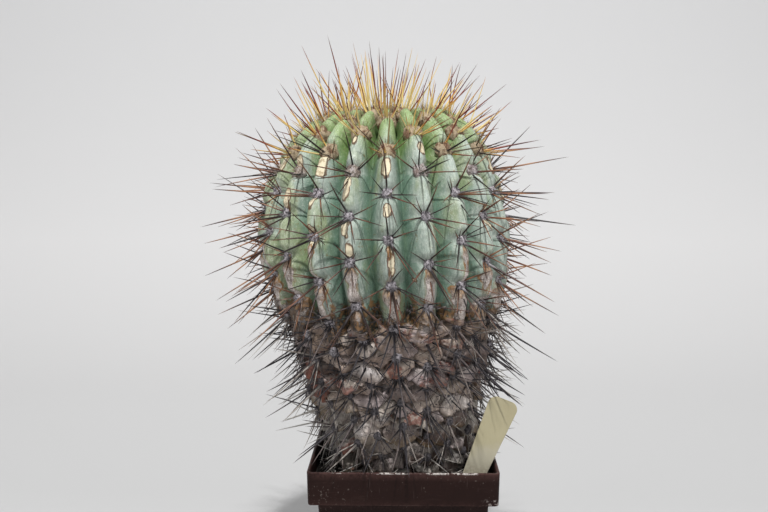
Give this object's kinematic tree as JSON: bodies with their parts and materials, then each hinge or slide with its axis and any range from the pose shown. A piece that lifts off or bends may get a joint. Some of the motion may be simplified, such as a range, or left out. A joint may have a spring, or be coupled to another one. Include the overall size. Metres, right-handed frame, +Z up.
{
  "type": "potted copiapoa haseltoniana",
  "caption": "Old solitary ribbed desert cactus with long dark spines, a green crown over a corky grey-brown base, in a square brown plastic pot with grit and a blank slanted label.",
  "frame": {"origin": "middle of the pot's flat underside", "axes": "+Z up out of the pot along its middle line; -Y is the side that the picture shows; +X is to the right there"},
  "size_m": [0.2193, 0.2211, 0.3559],
  "materials": {
    "pot_plastic": "satin",
    "grit": "matte",
    "label_plastic": "satin",
    "cork_bark": "matte",
    "green_skin": "matte",
    "felt": "matte"
  },
  "bodies": {
    "root": {"pot": "pot_plastic", "soil": "grit", "plant_label": "label_plastic", "stem_corky_base": "cork_bark", "stem_green_crown": "green_skin", "apex_felt": "felt"}
  },
  "joints": []
}
